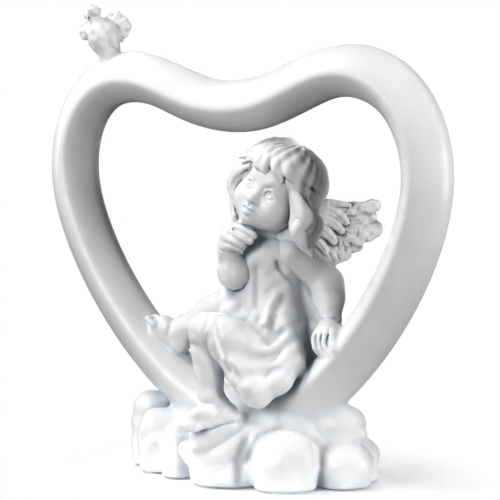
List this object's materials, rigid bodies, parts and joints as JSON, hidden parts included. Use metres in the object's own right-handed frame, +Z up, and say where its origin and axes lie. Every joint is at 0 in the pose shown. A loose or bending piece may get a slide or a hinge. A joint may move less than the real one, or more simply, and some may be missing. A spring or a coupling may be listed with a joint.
{
  "type": "angel figurine",
  "caption": "White cast-resin statuette: a seated child angel, chin on hand, inside an upright heart loop on a cloud base, with a small dove on the loop.",
  "frame": {"origin": "middle of the felt's underside, where the cloud base rests on the surface", "axes": "+Z up; the heart stands in the XZ plane and the angel faces -Y; +X is the angel's own left"},
  "size_m": [0.2532, 0.106, 0.257],
  "materials": {
    "white_resin": "matt white paint over cast resin, with a thin grey wash in the hollows",
    "washed_resin": "white paint with a heavier grey-brown wash between the feathers",
    "dove_resin": "thickly brushed matt white paint",
    "steel": "plain wire",
    "felt": "thin off-white felt"
  },
  "bodies": {
    "root": {"cloud_base": "white_resin", "heart_frame": "white_resin", "dress_torso": "white_resin", "head": "white_resin", "hair": "white_resin", "left_arm": "white_resin", "right_arm": "white_resin", "left_leg": "white_resin", "right_leg": "white_resin", "left_wing": "washed_resin", "right_wing": "washed_resin", "dove": "dove_resin", "felt_sheet": "felt", "frame_pins": "steel", "seat_pin": "steel", "neck_pin": "steel", "wing_pins": "steel", "dove_pin": "steel"}
  },
  "joints": []
}
